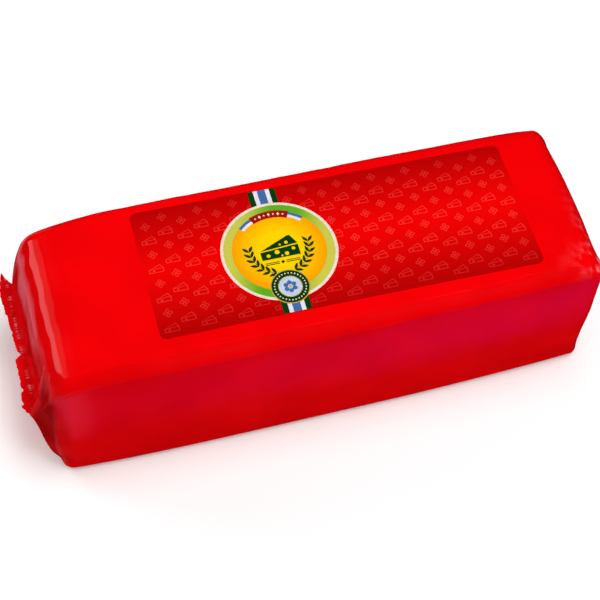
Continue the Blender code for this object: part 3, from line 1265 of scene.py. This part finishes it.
def makeBeads():
    # round dots in a ring
    values = {
        "Ground": labelGround, "Height": heightAboveGround("medallion"), "Count": beads["count"],
        "Bead Radius": beads["radius"], "Ring Radius": beads["ring"], "Rise": beads["rise"],
        "Middle": inMetres(*seal["medallionMiddle"]),
    }
    tree, given, result = makeTree("beadRing", values)
    ring = addNode(tree, "GeometryNodeMeshCircle", {
        "Vertices": given["Count"], "Radius": given["Ring Radius"],
    })
    bead = addNode(tree, "GeometryNodeMeshCylinder", {
        "Radius": given["Bead Radius"], "Depth": given["Rise"], "Vertices": beads["sides"],
    })
    placed = addNode(tree, "GeometryNodeInstanceOnPoints", {
        "Points": ring.outputs[0], "Instance": bead.outputs["Mesh"],
    })
    moved = addNode(tree, "GeometryNodeTransform", {
        "Geometry": placed.outputs[0], "Translation": given["Middle"],
    })
    endTree(tree, given, result, moved.outputs[0], inks["cream"])
    runTree(tree, "medallion_beads", values, inks["cream"])


sprig = {
    "leaves": 7,
    "leafLength": 4.6 * mm,
    "leafWidth": 1.7 * mm,
    "lean": 38,
    "stem": 0.45 * mm,
    "radius": 16.2 * mm,
    "sweep": 74,
    "starts": {"sprig_left": (252, -1), "sprig_right": (288, 1)},
    "lift": 1.5,
    "rise": 0.05 * mm,
    "sink": 0.01 * mm,
}


def makeLeaf():
    # one pointed leaf along +X, its tip and root sharp
    shape = bmesh.new()
    side = [(0.25, 0.42), (0.55, 0.5), (0.8, 0.3)]
    outline = [(0, 0), *side, (1, 0), *((x, -y) for x, y in reversed(side))]
    lower, upper = ([
        shape.verts.new((x * sprig["leafLength"], y * sprig["leafWidth"], height)) for x, y in outline
    ] for height in (0, sprig["rise"]))
    shape.faces.new(upper)
    shape.faces.new(list(reversed(lower)))
    for index in range(len(outline)):
        other = (index + 1) % len(outline)
        shape.faces.new((lower[index], lower[other], upper[other], upper[index]))
    return link(fillMesh(shape, bpy.data.meshes.new("leaf")), "leaf")


def makeSprigTree(values):
    # leaves on both sides of a curved stem
    tree, given, result = makeTree("sprig", values)
    arc = addNode(tree, "GeometryNodeCurveArc", {
        "Resolution": 24, "Radius": given["Radius"],
        "Start Angle": given["Start"], "Sweep Angle": given["Sweep"],
    }).outputs[0]
    profile = addNode(tree, "GeometryNodeCurvePrimitiveQuadrilateral", {
        "Width": given["Rise"], "Height": given["Stem"],
    }).outputs[0]
    stem = addNode(tree, "GeometryNodeCurveToMesh", {
        "Curve": arc, "Profile Curve": profile, "Fill Caps": True,
    })
    steps = addNode(tree, "GeometryNodeResampleCurve", {"Curve": arc, "Count": given["Leaves"]})
    tangent = addNode(tree, "GeometryNodeInputTangent").outputs[0]
    leaf = objectShape(tree, given["Leaf"])
    join = addNode(tree, "GeometryNodeJoinGeometry")
    plug(tree, join.inputs[0], stem.outputs[0])
    for side in (-1.0, 1.0):
        along = addNode(tree, "FunctionNodeAlignRotationToVector", {
            "Vector": tangent,
        }, axis="X", pivot_axis="Z")
        lean = mathNode(tree, "MULTIPLY", given["Lean"], side)
        turned = addNode(tree, "FunctionNodeRotateRotation", {
            "Rotation": along.outputs[0],
            "Rotate By": addNode(tree, "ShaderNodeCombineXYZ", {"Z": lean}).outputs[0],
        })
        placed = addNode(tree, "GeometryNodeInstanceOnPoints", {
            "Points": steps.outputs[0], "Instance": leaf, "Rotation": turned.outputs[0],
        })
        plug(tree, join.inputs[0], placed.outputs[0])
    moved = addNode(tree, "GeometryNodeTransform", {
        "Geometry": join.outputs[0], "Translation": given["Middle"],
    })
    return endTree(tree, given, result, moved.outputs[0], inks["dark green"])


def makeSprigs():
    leaf = makeLeaf()
    values = {
        "Ground": labelGround, "Height": heightAboveGround("disc") - sprig["sink"], "Leaf": leaf,
        "Leaves": sprig["leaves"], "Lean": math.radians(sprig["lean"]), "Stem": sprig["stem"],
        "Rise": sprig["rise"], "Radius": sprig["radius"], "Start": 0.0, "Sweep": 0.0,
        "Middle": inMetres(seal["middle"][0], seal["middle"][1] + sprig["lift"]),
    }
    tree = makeSprigTree(values)
    for name, (start, way) in sprig["starts"].items():
        values.update({"Start": math.radians(start), "Sweep": math.radians(way * sprig["sweep"])})
        runTree(tree, name, values, inks["dark green"])
    bpy.data.objects.remove(leaf)


makeBeads()
makeSprigs()
print("stage: beads and sprigs")


# Floor, lights and camera

studio = {
    "floorSize": 16.0,
    "floorWhite": 0.93,
    "floorLift": 0.20,
    # what the film mirrors of the floor: a strip in front, its corner, and a card at the left
    "darkGloss": (0.040, 0.004, 0.010, 1),
    "frontGloss": (0.280, 0.012, 0.400, 1),
    "frontNear": (-0.068, -0.096),
    "frontFar": (-0.107, -0.124),
    "frontAlong": (-0.110, 0.100),
    "cornerGloss": (0.450, 0.150, 0.460, 1),
    "cornerEdge": (-0.120, -0.140),
    "leftGloss": (0.88, 0.70, 0.88, 1),
    "leftNear": (-0.186, -0.220),
    "leftFar": (-0.285, -0.400),
    "leftFront": (0.029, 0.042),
    "leftFrontLow": 0.20,
    "worldDiffuse": 0.10,
    "worldSeen": 0.93,
}


def makeFloor():
    s = studio
    size = s["floorSize"] / 2
    level = float(loafLow.z)
    corners = [(-size, -size, level), (size, -size, level), (size, size, level), (-size, size, level)]
    mesh = bpy.data.meshes.new("floor")
    mesh.from_pydata(corners, [], [(0, 1, 2, 3)])
    floor = link(mesh, "floor")
    material = bpy.data.materials.new("pale floor")
    material.use_nodes = True
    tree = material.node_tree
    shader = tree.nodes["Principled BSDF"]
    shader.inputs["Roughness"].default_value = 0.9
    shader.inputs["Specular IOR Level"].default_value = 0.0
    shader.inputs["Emission Color"].default_value = (1, 1, 1, 1)
    path = addNode(tree, "ShaderNodeLightPath").outputs
    place = splitNode(tree, ownPlace(tree))
    x, y = place["X"], place["Y"]
    near = mapRange(tree, y, *s["frontNear"], smooth=True)
    far = mapRange(tree, y, *s["frontFar"], 1.0, 0.3, smooth=True)
    strip = mathNode(tree, "MULTIPLY", near, far)
    along = mapRange(tree, x, *s["frontAlong"], 0.35, 1.0)
    corner = mapRange(tree, x, *s["cornerEdge"], smooth=True)
    seen = mixColour(tree, mathNode(tree, "MULTIPLY", strip, along), s["darkGloss"], s["frontGloss"])
    seen = mixColour(tree, mathNode(tree, "MULTIPLY", strip, corner), seen, s["cornerGloss"])
    near = mapRange(tree, x, *s["leftNear"], smooth=True)
    far = mapRange(tree, x, *s["leftFar"], 1.0, 0.0, smooth=True)
    slanted = mathNode(tree, "ADD", y, mathNode(tree, "MULTIPLY_ADD", x, 0.5, 0.095))
    behind = mapRange(tree, slanted, *s["leftFront"], s["leftFrontLow"], 1.0, smooth=True)
    left = mathNode(tree, "MULTIPLY", mathNode(tree, "MULTIPLY", near, far), behind)
    seen = mixColour(tree, left, seen, s["leftGloss"])
    white = (s["floorWhite"], s["floorWhite"], s["floorWhite"], 1)
    plug(tree, shader.inputs["Base Color"], mixColour(tree, path["Is Glossy Ray"], white, seen))
    lift = mathNode(tree, "MULTIPLY", path["Is Camera Ray"], s["floorLift"])
    plug(tree, shader.inputs["Emission Strength"], lift)
    floor.data.materials.append(material)
    return floor


def makeWorld():
    world = bpy.data.worlds.new("studio")
    scene.world = world
    world.use_nodes = True
    tree = world.node_tree
    path = addNode(tree, "ShaderNodeLightPath")
    soft, seen = ((studio[key],) * 3 + (1,) for key in ("worldDiffuse", "worldSeen"))
    shade = mixColour(tree, path.outputs["Is Camera Ray"], soft, seen)
    plug(tree, tree.nodes["Background"].inputs["Color"], shade)
    world.cycles_visibility.glossy = False  # the film mirrors the softboxes and the floor alone


def fromTarget(azimuth, elevation):
    # the way from a target to what looks at it; azimuth 0 is in front, 90 to the right
    a, e = math.radians(azimuth), math.radians(elevation)
    return Vector((math.sin(a) * math.cos(e), -math.cos(a) * math.cos(e), math.sin(e)))


# softboxes: azimuth, elevation, distance, size, power, what they reach, and where they look
middleOfLoaf = (0, 0, 0.05)
lights = {
    "overheadSoft": (60, 78, 1.5, (0.9, 0.9), 16.5, "diffuse", middleOfLoaf),
    "frontSoft": (20, 38, 1.6, (1.2, 0.8), 5.8, "diffuse", middleOfLoaf),
    "leftBackSoft": (-135, 32, 1.3, (0.8, 0.6), 5.4, "diffuse", middleOfLoaf),
    "leftBackGloss": (-125, 15, 0.40, (0.145, 0.13), 0.135, "gloss", (-0.146, 0.013, 0.059)),
    "leftBackHaze": (-125, 15, 0.40, (0.145, 0.115), 0.026, "gloss", (-0.121, -0.006, 0.177)),
    "rightGloss": (75, 16, 1.4, (0.7, 0.4), 2.0, "gloss", middleOfLoaf),
}


def makeLight(name, azimuth, elevation, distance, size, power, reach, target):
    data = bpy.data.lights.new(name, "AREA")
    data.shape = "RECTANGLE"
    data.size, data.size_y = size
    data.energy = power
    lamp = link(data, name)
    way = fromTarget(azimuth, elevation)
    lamp.location = Vector(target) + way * distance
    lamp.rotation_euler = way.to_track_quat("Z", "Y").to_euler()
    lamp.visible_diffuse = reach == "diffuse"
    lamp.visible_glossy = reach == "gloss"
    lamp.visible_camera = False
    return lamp


view = {
    "lens": 97.735,
    "azimuth": -19.970,
    "elevation": 57.218,
    "roll": -4.827,
    "aim": (-0.00504, -0.01915, 0.0758),
    "distance": 0.8735,
}


def makeCamera():
    data = bpy.data.cameras.new("camera")
    data.lens = view["lens"]
    data.sensor_width = 36
    camera = link(data, "camera")
    a, r = math.radians(view["azimuth"]), math.radians(view["roll"])
    back = fromTarget(view["azimuth"], view["elevation"])
    right = Vector((math.cos(a), math.sin(a), 0))
    up = back.cross(right)
    right, up = math.cos(r) * right - math.sin(r) * up, math.sin(r) * right + math.cos(r) * up
    place = Vector(view["aim"]) + back * view["distance"]
    camera.matrix_world = Matrix((
        (right.x, up.x, back.x, place.x),
        (right.y, up.y, back.y, place.y),
        (right.z, up.z, back.z, place.z),
        (0, 0, 0, 1),
    ))
    scene.camera = camera
    return camera


makeFloor()
makeWorld()
for name, values in lights.items():
    makeLight(name, *values)
makeCamera()
print("stage: studio")
